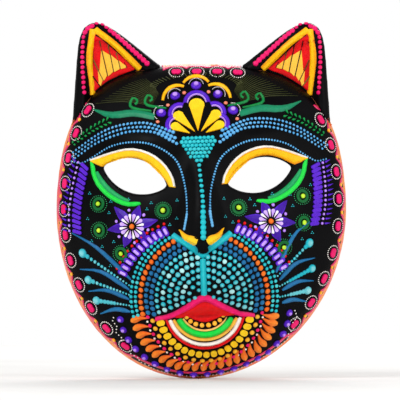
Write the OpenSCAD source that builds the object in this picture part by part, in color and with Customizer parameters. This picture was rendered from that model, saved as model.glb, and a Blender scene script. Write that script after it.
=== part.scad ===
// Painted folk art wall mask: a cat's face in moulded clay, with raised dots and strokes of paint.
// Millimetres. +Z is up, the face looks along -Y, and the back rim lies on the plane Y = 0.
// The origin is the middle of that back plane.

/* [Head] */
// Half of the greatest width
head_half_w = 97; // [85:1:110]
// Height of the crown above the widest line
crown_h = 96; // [85:1:105]
// Height of the jaw below the widest line
jaw_h = 114.5; // [100:0.5:125]
// Height of the widest line above the origin
widest_z = 9.5; // [5:0.5:15]
// How square the crown is
crown_square = 3.2; // [2.5:0.1:4]
// How much the crown narrows towards its top
crown_taper = 0.1; // [0:0.01:0.15]
// Sideways lean of the chin
chin_lean = -4; // [-6:1:6]
// Thickness of the clay
wall_t = 6; // [5:0.5:7]

/* [Relief] */
// Rise of the face above its side wall
dome_h = 44; // [35:1:50]
// Height of the side wall
side_h = 14; // [12:1:18]
// How sharply the side wall turns into the face
side_turn = 60; // [40:1:80]
// Rise of the nose
nose_h = 14; // [8:1:18]
// Rise of each whisker pad
muzzle_h = 9; // [5:1:12]
// Rise of the brows
brow_h = 4; // [0:1:6]
// Depth of the eye sockets
socket_d = 5; // [0:1:7]
// Rise of the cheeks
cheek_h = 3; // [0:1:5]
// Rise of the chin
chin_h = 5; // [0:1:8]
// Turn of the features, seen from the front
face_tilt = 2.2; // [0:0.1:4]

/* [Eyes] */
// Distance of each eye's middle from the centre line
eye_u = 41.6; // [38:0.2:44]
// Height of each eye's middle
eye_v = 30.8; // [28:0.2:36]
// Length of an eye hole from corner to corner
eye_len = 45; // [38:1:48]
// Height of an eye hole's upper arc above its corners
eye_top = 11.8; // [8:0.2:13]
// Depth of its lower arc below its corners
eye_bottom = 11; // [8:0.2:13]
// Slant of the eyes
eye_slant = 16; // [5:0.5:22]

/* [Ears] */
// Distance of an ear's middle from the centre line
ear_x = 62.5; // [58:1:64]
// Height of an ear's middle
ear_z = 98; // [94:1:102]
// Distance of the tip's edge from the ear's middle
ear_tip = 40; // [32:1:42]
// Depth of the flat inside the ear, from the wall
ear_dish = 8; // [7:0.5:9]
// Rise of the rolled edge above that flat
ear_roll = 5; // [3:0.5:6]

/* [Hanging] */
// Radius of the hole in the top wall
hang_r = 2; // [1.5:0.1:2.5]
// Distance of that hole from the middle
hang_x = 8.5; // [0:0.5:20]

/* [Paint] */
// Height of a bead of paint, as a part of its radius
bead_rise = 0.55; // [0.3:0.05:0.8]
// Height of a stroke of paint
stroke_rise = 0.7; // [0.4:0.1:1.2]
// How deep paint is keyed into the clay
sink = 0.35; // [0.25:0.05:0.5]

/* [Hidden] */
FACE = 0;
LEFT = -1;
RIGHT = 1;
SIDES = [LEFT, RIGHT];
sectors = 96;
rings = 20;
ear_sectors = 40;
hang_depth = 4.5;
edge_sink = 0.2;
detail = 32;
far = 200;

BLACK = [0.06, 0.06, 0.07];
MAGENTA = [0.90, 0.05, 0.42];
CREAM = [0.97, 0.94, 0.86];
YELLOW = [0.98, 0.80, 0.05];
GOLD = [0.95, 0.68, 0.20];
ORANGE = [0.95, 0.42, 0.06];
RED = [0.86, 0.04, 0.05];
CORAL = [0.92, 0.50, 0.40];
VIOLET = [0.36, 0.10, 0.78];
LILAC = [0.76, 0.58, 0.96];
GREEN = [0.05, 0.62, 0.30];
BRIGHT_GREEN = [0.05, 0.86, 0.28];
LEAF = [0.05, 0.48, 0.32];
OLIVE = [0.30, 0.30, 0.20];
LIME = [0.80, 0.88, 0.15];
SKY = [0.25, 0.60, 0.85];
BLUE = [0.10, 0.42, 0.66];
TURQUOISE = [0.10, 0.72, 0.72];
AQUA = [0.20, 0.78, 0.86];

// ---- Numbers ----

function smooth(a, b, x) = let (t = min(1, max(0, (x - a) / (b - a)))) t * t * (3 - 2 * t);
function turn(p, a) = [p.x * cos(a) - p.y * sin(a), p.x * sin(a) + p.y * cos(a)];
function polar(r, a) = [r * cos(a), r * sin(a)];
function unit(v) = v / norm(v);
function on_side(side, points) = [for (p = points) [side * p.x, p.y]];
function shifted(points, by) = [for (p = points) p + by];

// A smooth curve through hand-placed points
function spline(p, i, t) =
    let (
        b = p[i],
        c = p[i + 1],
        a = i == 0 ? 2 * b - c : p[i - 1],
        d = i + 2 < len(p) ? p[i + 2] : 2 * c - b
    )
    (2 * b + (c - a) * t + (2 * a - 5 * b + 4 * c - d) * t * t + (3 * b - a - 3 * c + d) * t * t * t) / 2;
function fine(p) = [for (i = [0:len(p) - 2]) for (j = [0:9]) spline(p, i, j / 10), p[len(p) - 1]];
function run(q) = [
    for (i = 0, s = 0; i < len(q); s = s + (i + 1 < len(q) ? norm(q[i + 1] - q[i]) : 0), i = i + 1) s
];

// n points along the curve, evenly spaced from its first end to its last
function along(p, n) =
    let (
        q = fine(p),
        s = run(q),
        xs = [for (i = [0:len(q) - 1]) [s[i], q[i].x]],
        ys = [for (i = [0:len(q) - 1]) [s[i], q[i].y]],
        whole = s[len(s) - 1]
    )
    [for (k = [0:n - 1]) let (at_s = whole * k / (n - 1)) [lookup(at_s, xs), lookup(at_s, ys)]];
function arc(centre, r, from, to, n) =
    [for (k = [0:n - 1]) centre + polar(r, from + (to - from) * k / (n - 1))];

// The way across a path, to its left
function across(path, i) =
    let (
        a = path[max(0, i - 1)],
        b = path[min(len(path) - 1, i + 1)],
        d = unit(b - a)
    )
    [-d.y, d.x];

// ---- The head's form ----

// Place outwards from the head's middle: 0 there and 1 on the outline
function crown_width(dz) = 1 - crown_taper * pow(max(0, dz) / crown_h, 1.4);
function chin_shift(dz) = chin_lean * pow(min(0, dz) / jaw_h, 2);
function head_s(x, z) =
    let (
        dz = z - widest_z,
        n = dz > 0 ? crown_square : 2,
        b = dz > 0 ? crown_h : jaw_h,
        ax = abs(x - chin_shift(dz)) / crown_width(dz) / head_half_w
    )
    pow(pow(ax, n) + pow(abs(dz) / b, n), 1 / n);

// The point at place s in direction a
function head_plan(s, a) =
    let (
        n = sin(a) > 0 ? crown_square : 2,
        b = sin(a) > 0 ? crown_h : jaw_h,
        r = s / pow(pow(abs(cos(a)) / head_half_w, n) + pow(abs(sin(a)) / b, n), 1 / n),
        dz = r * sin(a)
    )
    [r * cos(a) * crown_width(dz) + chin_shift(dz), dz + widest_z];

function hump(u, v, cu, cv, ru, rv) = exp(-pow((u - cu) / ru, 2) - pow((v - cv) / rv, 2));
function humps(u, v, cu, cv, ru, rv) = hump(u, v, cu, cv, ru, rv) + hump(u, v, -cu, cv, ru, rv);
function nose(u, v) =
    let (w = 7 + 6 * smooth(30, -8, v))
    smooth(62, -2, v) * smooth(-21, -11, v) * exp(-pow(abs(u) / w, 3));

// Rise of the features above the plain dome
function relief(x, z) =
    let (
        p = turn([x, z], -face_tilt),
        s = head_s(x, z)
    )
    (1 - pow(min(1, s), 6)) * (
        nose_h * nose(p.x, p.y)
        + muzzle_h * humps(p.x, p.y, 18, -33, 19, 20)
        + brow_h * humps(p.x, p.y, 38, 57, 30, 9)
        - socket_d * humps(p.x, p.y, eye_u, eye_v, 24, 14)
        + cheek_h * humps(p.x, p.y, 56, -4, 20, 18)
        + chin_h * hump(p.x, p.y, 0, -80, 24, 12)
        - 4 * hump(p.x, p.y, 0, -63, 26, 4)
    );
function dome(s, rise, side) = rise * (1 - pow(s, 2)) + side * sqrt(max(0, 1 - pow(s, side_turn)));
function head_depth(x, z) = let (s = min(1, head_s(x, z))) dome(s, dome_h, side_h) + relief(x, z);

// ---- The ears' form ----

// Each edge of an ear: the direction that it faces and its distance from the ear's middle
ear_edges = [[176, 22.3], [110, ear_tip], [51.3, 27.6], [-60, 26]];
ear_round = 6;
ear_mid_depth = 7;
ear_back_depth = 5;
dish_edge = 0.5;
crest = 0.75;

function ear_s_of(q) =
    let (powers = [for (e = ear_edges) pow(max(0, q * polar(1, e[0])) / e[1], ear_round)])
    pow(powers * [1, 1, 1, 1], 1 / ear_round);
function ear_s(side, x, z) = ear_s_of([-side * x - -ear_x, z - ear_z]);
function ear_plan(side, s, a) =
    let (q = polar(s / ear_s_of(polar(1, a)), a))
    [side * (ear_x - q.x), ear_z + q.y];
function edge_round(s) = s < crest ? 1 : sqrt(max(0, 1 - pow((s - crest) / (1 - crest), 2)));
function ear_front(s) =
    ear_mid_depth + (ear_dish - ear_mid_depth + ear_roll * smooth(dish_edge, crest, s)) * edge_round(s);
function ear_back(s) = ear_mid_depth - ear_back_depth * edge_round(s);

// ---- Places on the painted surface ----

// Points on the face are given in the features' own turned frame
function plan_of(p, on) = on == FACE ? turn(p, face_tilt) : p;
function upright(p) = turn(p, -face_tilt);
function depth(q, on) = on == FACE ? head_depth(q.x, q.y) : ear_front(min(1, ear_s(on, q.x, q.y)));
function skin(q, on) = [q.x, -depth(q, on), q.y];
function normal(p, on = FACE) =
    let (
        h = 0.4,
        q = plan_of(p, on),
        dx = (depth(q + [h, 0], on) - depth(q - [h, 0], on)) / (2 * h),
        dz = (depth(q + [0, h], on) - depth(q - [0, h], on)) / (2 * h)
    )
    unit([-dx, -1, -dz]);
function place(p, on = FACE, rise = 0) = skin(plan_of(p, on), on) + rise * normal(p, on);

module aim(n) rotate([0, acos(n.z), atan2(n.y, n.x)]) children();

// ---- Kinds of paint ----

// A round drop of paint
module bead(p, r, on = FACE, rise = bead_rise, lift = 0) {
    h = rise * r;
    ball = (r * r + h * h) / (2 * h);
    translate(place(p, on, lift)) aim(normal(p, on))
        rotate_extrude($fn = detail) intersection() {
            translate([0, h - ball]) circle(ball, $fn = 2 * detail);
            translate([0, -sink]) square([2 * r, h + sink]);
        }
}

module beads(points, r, on = FACE, rise = bead_rise, lift = 0)
    for (p = points) bead(p, r, on, rise, lift);

// Drops whose size changes evenly from the first to the last
module graded(points, r0, r1, on = FACE)
    for (i = [0:len(points) - 1]) bead(points[i], r0 + (r1 - r0) * i / (len(points) - 1), on);

// A flat outline of paint, laid on the surface at p with its length along d
module laid(p, d, on = FACE, rise = stroke_rise, lift = 0) {
    n = normal(p, on);
    q = plan_of(d, on);
    flat = [q.x, 0, q.y];
    y = unit(flat - (flat * n) * n);
    x = cross(y, n);
    o = place(p, on, lift - sink);
    multmatrix([[x.x, y.x, n.x, o.x], [x.y, y.y, n.y, o.y], [x.z, y.z, n.z, o.z], [0, 0, 0, 1]])
        linear_extrude(rise + sink) children();
}

// A petal from a point to a round end
module petal(from, to, w, on = FACE, rise = stroke_rise) {
    l = norm(to - from);
    r = w / 2;
    reach = l - r;
    lean = asin(min(0.99, r / reach));
    laid((from + to) / 2, unit(to - from), on, rise) {
        translate([0, reach - l / 2]) circle(r, $fn = detail);
        polygon([
            [0, -l / 2],
            [r * cos(lean), reach - l / 2 - r * sin(lean)],
            [0, reach - l / 2],
            [-r * cos(lean), reach - l / 2 - r * sin(lean)]
        ]);
    }
}

// A dash with two round ends
module dash(from, to, w, on = FACE, rise = stroke_rise, lift = 0) {
    l = norm(to - from) - w;
    laid((from + to) / 2, unit(to - from), on, rise, lift) {
        for (end = SIDES) translate([0, end * l / 2]) circle(w / 2, $fn = detail);
        square([w, l], center = true);
    }
}

// A ribbon of paint between two edges, raised between them along one or more ridges.
// A ribbon with several ridges is wide, so its underside follows the clay as well.
module ribbon(a, b, on = FACE, rise = stroke_rise, ridges = 1) {
    n = len(a);
    m = floor(n / 2);
    t = a[m] - a[m - 1];
    w = b[m] - a[m];
    swap = t.x * w.y - t.y * w.x < 0;
    backed = ridges > 1;
    rows = backed ? 2 * ridges + 2 : 3;
    points = [
        for (i = [0:n - 1]) for (k = [0:rows - 1])
            let (
                f = (k <= ridges + 1 ? k : rows - k) / (ridges + 1),
                raised = k >= 1 && k <= ridges,
                p = swap ? b[i] + (a[i] - b[i]) * f : a[i] + (b[i] - a[i]) * f
            ) place(p, on, raised ? rise : -edge_sink)
    ];
    walls = [
        for (i = [0:n - 2]) for (k = [0:rows - 1])
            let (c = rows * i + k, d = rows * i + (k + 1) % rows)
                each [[c, d, c + rows], [d, d + rows, c + rows]]
    ];
    section = backed ? [
        for (k = [0:ridges]) each [
            if (k < ridges) [k, k + 1, rows - k - 1],
            if (k > 0) [k, rows - k - 1, rows - k]
        ]
    ] : [[0, 1, 2]];
    last = rows * (n - 1);
    near = [for (c = section) [c[0], c[2], c[1]]];
    far_end = [for (c = section) [for (i = c) last + i]];
    polyhedron(points, concat(walls, near, far_end));
}

// A brush stroke: widths is a table of [part of the way, width]
module stroke(points, widths, n = 7, on = FACE, rise = stroke_rise) {
    path = along(points, n);
    half = [for (i = [0:n - 1]) lookup(i / (n - 1), widths) / 2];
    a = [for (i = [0:n - 1]) path[i] + half[i] * across(path, i)];
    b = [for (i = [0:n - 1]) path[i] - half[i] * across(path, i)];
    ribbon(a, b, on, rise);
}
even = function (w) [[0, w], [1, w]];
spindle = function (w) [[0, 0.3], [0.25, 0.8 * w], [0.6, w], [1, 0.3]];
comma = function (w) [[0, 0.3], [0.7, w], [0.9, 0.9 * w], [1, 0.5 * w]];

// ---- Clay ----

// A closed grid of points: rows run from the middle outwards, then back under
function grid_faces(rows, cols) = [
    for (j = [0:rows - 2]) for (i = [0:cols - 1])
        let (a = 1 + j * cols + i, b = 1 + j * cols + (i + 1) % cols)
            each [[a, b, a + cols], [b, b + cols, a + cols]]
];
module lens(front_mid, front_rows, back_rows, back_mid) {
    cols = len(front_rows[0]);
    rows = len(front_rows) + len(back_rows);
    last = 1 + rows * cols;
    points = concat([front_mid], [for (row = concat(front_rows, back_rows)) each row], [back_mid]);
    caps = [
        for (i = [0:cols - 1])
            each [[0, 1 + (i + 1) % cols, 1 + i],
                [last, last - cols + i, last - cols + (i + 1) % cols]]
    ];
    polyhedron(points, concat(grid_faces(rows, cols), caps));
}

edge_rings = [0.95, 0.968, 0.982, 0.991, 0.997, 1];
outer_rings = concat([for (j = [1:rings]) 0.93 * j / rings], edge_rings);
inner_rings = [1, 0.992, 0.97, 0.93, 0.86, 0.76, 0.64, 0.52, 0.4, 0.28, 0.14];
inner_scale = 1 - wall_t / head_half_w;

function head_point(s, a) = let (p = head_plan(s, a)) [p.x, s == 1 ? 0 : -head_depth(p.x, p.y), p.y];
function inner_point(s, a) =
    let (p = head_plan(s, a), x = p.x * inner_scale, z = (p.y - widest_z) * inner_scale + widest_z)
    [x, s == 1 ? 0 : -dome(s, dome_h, side_h - wall_t) - (1 - pow(s, 6)) * relief(x, z), z];

module clay_form()
    lens(
        head_point(0, 0),
        [for (s = outer_rings) [for (i = [0:sectors - 1]) head_point(s, 360 * i / sectors)]],
        [for (s = inner_rings) [for (i = [0:sectors - 1]) inner_point(s, 360 * i / sectors)]],
        inner_point(0, 0)
    );

// An eye hole's outline: the lens where two circles cross
function arc_radius(half, rise) = (half * half + rise * rise) / (2 * rise);
module eye_outline(len, top, bottom) {
    r_top = arc_radius(len / 2, top);
    r_bottom = arc_radius(len / 2, bottom);
    intersection() {
        translate([0, top - r_top]) circle(r_top, $fn = 3 * detail);
        translate([0, r_bottom - bottom]) circle(r_bottom, $fn = 3 * detail);
    }
}
// The eyes were made by hand: both lean to the left, and the left one is higher and steeper
eye_shift = -1.6;
eye_step = 1.2;
eye_turn = 3.4;
function eye_spot(side) = [side * eye_u + eye_shift, eye_v - side * eye_step];
module eye_hole(side) {
    p = turn(eye_spot(side), face_tilt);
    translate([p.x, 1, p.y]) rotate([90, 0, 0]) rotate(face_tilt + side * (eye_slant - side * eye_turn))
        linear_extrude(far) eye_outline(eye_len, eye_top, eye_bottom);
}
module hanging_hole()
    translate([hang_x, -hang_depth, widest_z + crown_h - 2 * wall_t])
        cylinder(h = 4 * wall_t, r = hang_r, $fn = detail);

module face_shell() color(BLACK) difference() {
    clay_form();
    for (side = SIDES) eye_hole(side);
    hanging_hole();
}

// The part of the head's form that an ear is moulded onto
wedge_from = 22.5;
wedge_to = 75;
wedge_ring = 12;
module head_wedge(side) {
    step = 360 / sectors;
    angles = [for (a = [wedge_from:step:wedge_to]) side > 0 ? a : 180 - a];
    turned = side > 0 ? angles : [for (i = [len(angles) - 1:-1:0]) angles[i]];
    radii = [for (j = [wedge_ring:len(outer_rings) - 1]) outer_rings[j]];
    n = len(turned);
    m = len(radii);
    front = [for (s = radii) for (a = turned) head_point(s, a)];
    back = [for (s = radii) for (a = turned) let (p = head_plan(s, a)) [p.x, 2, p.y]];
    f = n * m;
    sheet = [
        for (j = [0:m - 2]) for (i = [0:n - 2]) let (a = j * n + i)
            each [[a, a + 1, a + n], [a + 1, a + n + 1, a + n],
                [f + a, f + a + n, f + a + 1], [f + a + 1, f + a + n, f + a + n + 1]]
    ];
    rows_closed = [
        for (i = [0:n - 2]) let (b = (m - 1) * n + i)
            each [[i, f + i, i + 1], [i + 1, f + i, f + i + 1], [b, b + 1, f + b], [b + 1, f + b + 1, f + b]]
    ];
    ends_closed = [
        for (j = [0:m - 2]) let (a = j * n, b = j * n + n - 1)
            each [[a, a + n, f + a], [a + n, f + a + n, f + a], [b, f + b, b + n], [b + n, f + b, f + b + n]]
    ];
    polyhedron(concat(front, back), concat(sheet, rows_closed, ends_closed));
}

ear_front_rings = [0.3, 0.5, 0.58, 0.66, 0.75, 0.85, 0.93, 0.98, 1];
ear_back_rings = [0.96, 0.85, 0.7, 0.35];
function ear_point(side, s, a, back) =
    let (p = ear_plan(side, s, a)) [p.x, -(back ? ear_back(s) : ear_front(s)), p.y];
module ear_form(side) {
    angles = [for (i = [0:ear_sectors - 1]) side * -360 * i / ear_sectors];
    lens(
        ear_point(side, 0, 0, false),
        [for (s = ear_front_rings) [for (a = angles) ear_point(side, s, a, false)]],
        [for (s = ear_back_rings) [for (a = angles) ear_point(side, s, a, true)]],
        ear_point(side, 0, 0, true)
    );
}
module ear(side) color(BLACK) difference() {
    ear_form(side);
    head_wedge(side);
}

// ---- Rim ----

rim_s = 0.952;
crest_s = 0.975;
left_rim = [141, 242.5];
right_rim = [35, -50.5];
top_rim = [101.5, 73.5];

function outline_path(s, span, n) =
    along([for (k = [0:8]) head_plan(s, span[0] + (span[1] - span[0]) * k / 8)], n);
function medallions() =
    [for (rim = [[left_rim, 11], [right_rim, 9], [top_rim, 4]]) each outline_path(rim_s, rim[0], rim[1])];
function crests() =
    [for (rim = [[left_rim, 11], [right_rim, 9]])
        let (path = outline_path(crest_s, rim[0], 2 * rim[1] - 1))
            for (i = [1:2:len(path) - 2]) path[i]];

// The way that the rim runs at a point near it
function rim_way(q) = let (n = normal(upright(q))) unit([n.z, -n.x]);

// The painted band on the side wall: its front edge dips at each medallion and rises between them
band_spans = [[-220.5, 40.5, 150], [73, 107, 20]];
band_dip = 0.988;
band_crest = 0.968;
band_paint = 0.5;
function band_front(q) =
    let (near = min([for (m = medallions()) norm(m - q)]))
    band_dip - (band_dip - band_crest) * smooth(3.5, 9, near);
function grown_plan(a, by) = head_plan(1 + by / head_half_w, a);
function band_section(a) =
    let (
        front = head_plan(band_front(head_plan(rim_s, a)), a),
        wall = head_plan(0.999, a),
        skin = grown_plan(a, band_paint),
        root = grown_plan(a, -sink)
    )
    [
        place(upright(front), FACE, -sink),
        place(upright(front), FACE, 0.6 * band_paint),
        [skin.x, -head_depth(wall.x, wall.y), skin.y],
        [skin.x, -1, skin.y],
        [root.x, -1, root.y]
    ];
module band(span) {
    n = span[2];
    rows = 5;
    points = [for (i = [0:n]) each band_section(span[0] + (span[1] - span[0]) * i / n)];
    walls = [
        for (i = [0:n - 1]) for (k = [0:rows - 1])
            let (c = rows * i + k, d = rows * i + (k + 1) % rows)
                each [[c, c + rows, d], [d, c + rows, d + rows]]
    ];
    last = rows * n;
    ends = [for (k = [1:rows - 2]) each [[0, k, k + 1], [last, last + k + 1, last + k]]];
    polyhedron(points, concat(walls, ends));
}
module rim_band() color(MAGENTA) difference() {
    for (span = band_spans) band(span);
    hanging_hole();
}
module rim_crest_beads() color(GOLD) for (q = crests()) bead(upright(q), 1.4);

heart_len = 6;
heart_w = 3.9;
ring_len = 9.8;
ring_w = 6.8;
ring_dots = 22;
module medallion_hearts() color(MAGENTA)
    for (q = medallions())
        let (p = upright(q), d = turn(rim_way(q), -face_tilt), l = (heart_len - heart_w) / 2)
            dash(p - d * (l + heart_w / 2), p + d * (l + heart_w / 2), heart_w, FACE, 0.9);

// A ring of dots round a point, stretched along the rim
module medallion_rings() color(CREAM)
    for (q = medallions()) let (p = upright(q), d = turn(rim_way(q), -face_tilt), e = [-d.y, d.x])
        for (k = [0:ring_dots - 1]) let (a = 360 * k / ring_dots)
            bead(p + ring_len / 2 * cos(a) * d + ring_w / 2 * sin(a) * e, 0.42);

// ---- Ears ----

outer_beads = 16;
inner_beads = 14;
ear_outer = [[-70.5, 133.5], [-78, 128.5], [-80, 115], [-79.8, 100], [-78.5, 87]];
ear_inner = [[-66.5, 132.8], [-57, 125.5], [-46, 115.5], [-34, 104.3]];
module ear_beads() color(MAGENTA)
    for (side = SIDES) for (edge = [[ear_outer, outer_beads], [ear_inner, inner_beads]])
        for (q = along(on_side(-side, edge[0]), edge[1]))
            if (head_s(q.x, q.y) > 1.015) bead(q, 1.5, side);

band_outer = [[-73, 129.5], [-75, 109], [-73, 85.5]];
band_inner = [[-71.5, 129.5], [-57, 118], [-41.5, 102.5]];
module ear_bands() color(YELLOW)
    for (side = SIDES) for (leg = [band_outer, band_inner])
        stroke(on_side(-side, leg), even(4), 14, side, 0.9);

// The painted field inside each ear, down to where the head covers it
field_x = -73.4;
field_top = 127;
field_foot = 87;
function field_edge(z) = -72 + (field_top - z) * 1.16;
function dome_x(z) = [for (x = [-40:-0.5:-90]) if (head_s(x, z) > 1.003) x][0];
module ear_fields() color(RED)
    for (side = SIDES) {
        zs = [for (k = [0:10]) field_top - (field_top - field_foot) * k / 10];
        inner = [for (z = zs) [max(field_x + 0.3, min(field_edge(z), dome_x(z))), z]];
        ribbon(on_side(-side, [for (z = zs) [field_x, z]]), on_side(-side, inner), side, 0.3, 2);
    }

// A fan of dark lines from the head's edge to the ear band, with a gold ray between each two.
// Each ray covers a part of the lines beside it.
line_feet = [[-68.2, 91.5], [-66, 95], [-63, 98], [-59, 100.8], [-54.5, 102.8], [-50, 103.8]];
line_ends = [[-73.2, 98], [-72.8, 109], [-68.5, 122], [-62.5, 119.3], [-57, 114], [-51.8, 107.7]];
ray_parts = [0.25, 0.45, 0.72, 0.62, 0.5, 0.35];
line_w = 0.7;
ray_gap = [0.6, 0];
function ray_head(i) = line_feet[i] + ray_parts[i] * (line_ends[i] - line_feet[i]);
module ear_rays()
    for (side = SIDES) {
        color(GOLD) for (i = [0:4])
            translate([0, -ear_dish + sink, 0]) rotate([90, 0, 0]) linear_extrude(sink + 0.6)
                polygon(on_side(-side, [
                    line_feet[i] + ray_gap,
                    ray_head(i) + ray_gap,
                    ray_head(i + 1) - ray_gap,
                    line_feet[i + 1] - ray_gap
                ]));
        color(BLACK) for (i = [0:5])
            stroke(on_side(-side, [line_feet[i], line_ends[i]]), even(line_w), 6, side, 0.75);
    }

// ---- Forehead ----

palm = [0, 58];
petal_tips = [[0, 84.3], [13.9, 75.5], [-13.9, 75.5], [17, 66.8], [-17, 66.8]];
petal_feet = [[0, 58.4], [2.6, 58.2], [-2.6, 58.2], [5.6, 58.2], [-5.6, 58.2]];
petal_widths = [10, 7.2, 7.2, 6.2, 6.2];
module palmette_petals() color(YELLOW)
    for (i = [0:4]) petal(petal_feet[i], petal_tips[i], petal_widths[i]);

// Lobes that wrap the petals' round ends
function lobe(i, out) =
    let (
        d = petal_tips[i] - palm,
        a = atan2(d.y, d.x),
        spread = i == 0 ? 84 : 60,
        r = petal_widths[i] / 2
    )
    arc(petal_tips[i] - unit(d) * r, r + out, a - spread, a + spread, 9);
module palmette_scallops() color(VIOLET)
    for (i = [0:4]) ribbon(lobe(i, 1.9), lobe(i, 4.3));
// A lilac line inside each lobe, and white dots round the outer half of each crown bead
module scallop_lines() {
    color(LILAC) for (i = [0:4]) ribbon(lobe(i, 0.9), lobe(i, 1.8));
    color(CREAM) for (c = crown_beads) let (a = atan2(c.y - palm.y - 4, c.x))
        beads(arc(c, halo_r, a - 75, a + 75, 15), 0.3);
}

halo_r = 4.9;
crown_beads = [[0, 91.5], [14.3, 85], [-14.3, 85], [24, 73.8], [-24, 73.8]];
module palmette_beads() color(VIOLET) beads(crown_beads, 3.4);
module palmette_arcs() color(YELLOW)
    for (c = [for (i = [0:2]) crown_beads[i]])
        let (a = atan2(c.y - 62, c.x))
            stroke(arc(c - polar(3.6, a), 10.3, a - 56, a + 56, 7), [[0, 1.7], [0.5, 2.6], [1, 1.7]], 9);
module coral_beads() color(CORAL)
    for (side = SIDES) beads(on_side(side, [[8.2, 86.9], [19.4, 79], [26.6, 68]]), 1.3);

leaf = [[28.5, 71.5], [42, 74.5], [58, 74], [70, 78.5]];
module brow_leaves() color(LEAF)
    for (side = SIDES) stroke(on_side(side, leaf), [[0, 4.6], [0.5, 5], [0.75, 4], [1, 0.5]], 10);

module brow_curls() color(GREEN)
    for (side = SIDES) for (c = [[41.5, 82], [31.5, 83.5]])
        stroke(
            on_side(side, concat([c + [-11, -6.5], c + [0, -4.4]],
                [for (k = [0:3]) c + polar(3.8 - 0.8 * k, -30 + 100 * k)])),
            [[0, 1.2], [0.4, 2], [1, 1.9]],
            16
        );

// Fine strokes that fan out over the leaves and the crown
lash_root = [30, 79];
side_lashes = 16;
top_lashes = 27;
module lashes() color(OLIVE) {
    for (side = SIDES) for (k = [0:side_lashes - 1])
        let (
            t = k / (side_lashes - 1),
            root = lash_root + [-5 * t, 7.5 * t],
            tip = [68 - 34 * pow(t, 0.8), 82 + 15.5 * sin(90 * t)]
        )
            stroke(on_side(side, [root, (root + tip) / 2 + [0, 2.2 - t], tip]), spindle(0.8), 5, FACE, 0.4);
    for (k = [0:top_lashes - 1])
        let (a = 180 * (k + 0.5) / top_lashes, q = [27 * cos(a), 89.5 + 8 * sin(a)])
            dash(q, q + [4.2 * cos(a), 3], 0.48, FACE, 0.35);
}

sprig = [[60.5, 69.5], [72, 64], [84, 55.5]];
module sprigs() color(GREEN)
    for (side = SIDES) let (path = along(on_side(side, sprig), 10))
        for (i = [0:9]) for (leaf_side = SIDES)
            let (
                w = across(path, i) * leaf_side,
                d = unit(path[min(9, i + 1)] - path[max(0, i - 1)]),
                l = 3.4 - 0.16 * i
            )
                petal(path[i] + 0.3 * w, path[i] + (w - 0.8 * d) * l * 0.8, 1.3 - 0.03 * i);

brow_top = [[86.5, 48.5], [67.5, 61], [54, 66.3], [39, 67.8], [30, 66.3], [16.5, 60.8]];
brow_foot = [[83, 46], [68, 55.5], [50, 61.5], [37, 62.2], [26, 60], [14.5, 53]];
module brow_beads(side) color(SKY)
    for (row = [0:2])
        let (mid = [for (i = [0:5]) brow_top[i] + (brow_foot[i] - brow_top[i]) * row / 2])
            graded(along(on_side(side, mid), 30 - row), 0.75, 1.2);

// ---- Eyes ----

eye_line = [
    [85.5, 44], [79, 42.5], [72, 45.6], [58, 53], [43, 55],
    [29, 52], [15.5, 42], [9.8, 25], [9.3, 8], [11.5, -4]
];
module eye_outline_beads() color(SKY)
    for (side = SIDES) graded(along(by_eye(side, eye_line), 66), 0.62, 0.85);

lid_low = [[20.6, 24.6], [26.5, 32.5], [36, 41.5], [46.5, 44.6], [57, 42.3], [64.5, 39.3], [72, 43.6]];
lid_high = [[16.4, 24.2], [17.8, 31], [23.2, 40], [32, 47.2], [44.5, 51], [58, 49.2], [73.2, 44.6]];
lid_steps = 15;
lid_trim = 1.5;
// Paint round an eye: the right eye's is turned and shifted to suit its flatter hole
right_turn = -5;
right_shift = [-1.2, -1.2];
function by_eye(side, points) = side == LEFT ? on_side(LEFT, points) :
    [for (p = points) [eye_u, eye_v] + turn(p - [eye_u, eye_v], right_turn) + right_shift];
module upper_lids() color(YELLOW)
    for (side = SIDES)
        ribbon(by_eye(side, along(lid_low, lid_steps)),
            by_eye(side, shifted(along(lid_high, lid_steps), [0, -0.5 * lid_trim])), FACE, 0.8, 2);
module lid_edges() color(CREAM)
    for (side = SIDES) {
        high = along(lid_high, lid_steps);
        low = along(lid_low, lid_steps);
        trim = [for (i = [0:lid_steps - 1]) high[i] + lid_trim * unit(low[i] - high[i])];
        ribbon(by_eye(side, high), by_eye(side, trim), FACE, 1.1);
    }
lower_steps = 13;
lower_edge = 2.8;
lower_gap = 0.15;
lower_high = [[71.4, 43], [65.8, 32.8], [59.5, 24.8], [52, 19], [45, 15.8], [40.5, 14.8]];
lower_low = [[73, 44], [72.2, 35], [69, 26.8], [62, 19], [53, 13.6], [46, 12.2], [39.8, 13.4]];
// Points part of the way from the lower lid's outer edge towards its inner edge
function lower_inset(by, from = 0, to = lower_steps - 1) =
    let (high = along(lower_high, lower_steps), low = along(lower_low, lower_steps))
    [for (i = [from:to]) let (way = high[i] - low[i]) low[i] + min(by, norm(way)) * unit(way)];
module lower_lids()
    for (side = SIDES) {
        color(LEAF)
            ribbon(by_eye(side, lower_inset(far, 2, lower_steps - 3)),
                by_eye(side, lower_inset(lower_edge + lower_gap, 2, lower_steps - 3)), FACE, 0.5, 2);
        color(BRIGHT_GREEN)
            ribbon(by_eye(side, lower_inset(lower_edge)), by_eye(side, lower_inset(0)), FACE, 0.8);
    }

// ---- Nose ----

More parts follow.
